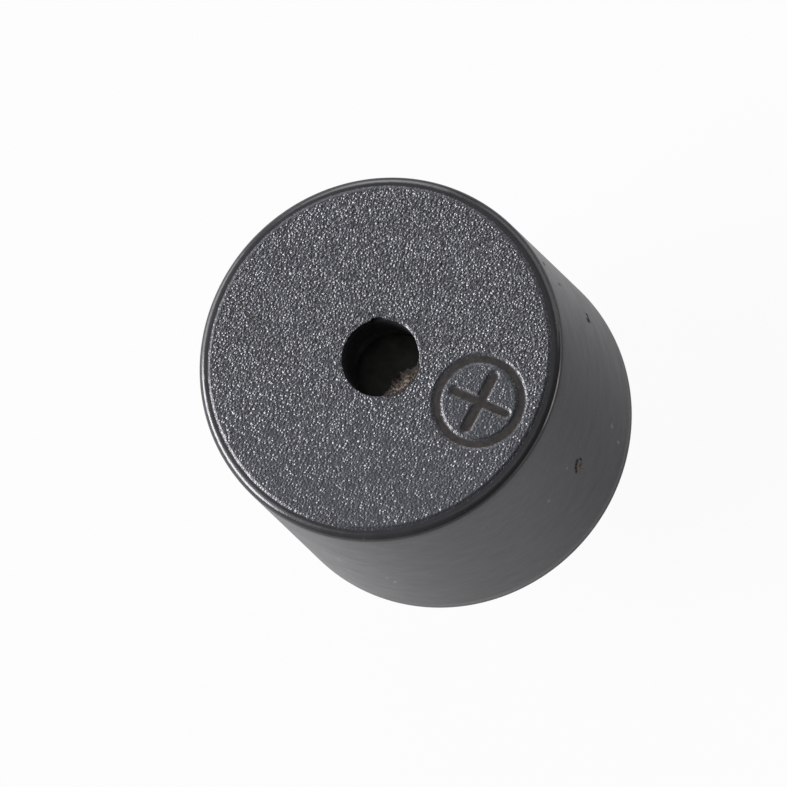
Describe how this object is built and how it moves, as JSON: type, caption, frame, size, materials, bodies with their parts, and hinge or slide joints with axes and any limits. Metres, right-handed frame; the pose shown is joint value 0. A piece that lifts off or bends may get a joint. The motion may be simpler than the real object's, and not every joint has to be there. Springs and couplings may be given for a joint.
{
  "type": "magnetic buzzer",
  "caption": "Small round black magnetic buzzer with a sound hole, an engraved plus mark and pins for soldering to a circuit board.",
  "frame": {"origin": "The centre of the housing's open rim, on the plane of the circuit board that it is soldered to.", "axes": "+Z points out of the sound hole, away from the circuit board. +X points to the plus pin, under the plus mark. +Y completes a right-handed frame."},
  "size_m": [0.012, 0.012, 0.0135],
  "materials": {
    "housing_plastic": "black moulded plastic, satin sides, spark-eroded grain on the top",
    "resin": "black cast epoxy, glossy, with a meniscus",
    "board": "phenolic paper board",
    "copper": "etched copper foil",
    "pin_tin": "drawn wire with matt tin plating",
    "solder": "solder, semi-bright",
    "chip_black": "moulded epoxy",
    "chip_legs": "tinned metal",
    "chip_ceramic": "white ceramic",
    "soft_iron": "zinc-plated soft iron",
    "winding": "enamelled copper wire",
    "ferrite": "ground ferrite",
    "ring_metal": "turned, plain",
    "spring_steel": "rolled sheet, plain"
  },
  "bodies": {
    "root": {"housing": "housing_plastic", "resin": "resin", "circuit_board": "board", "copper_tracks": "copper", "plus_pin": "pin_tin", "minus_pin": "pin_tin", "pin_solder": "solder", "lead_solder": "solder", "chip_solder": "solder", "transistor_body": "chip_black", "transistor_legs": "chip_legs", "resistor_body": "chip_ceramic", "resistor_caps": "chip_legs", "yoke_plate": "soft_iron", "core": "soft_iron", "drive_winding": "winding", "feedback_winding": "winding", "ring_magnet": "ferrite", "support_ring": "ring_metal", "diaphragm": "spring_steel", "armature": "spring_steel"}
  },
  "joints": []
}
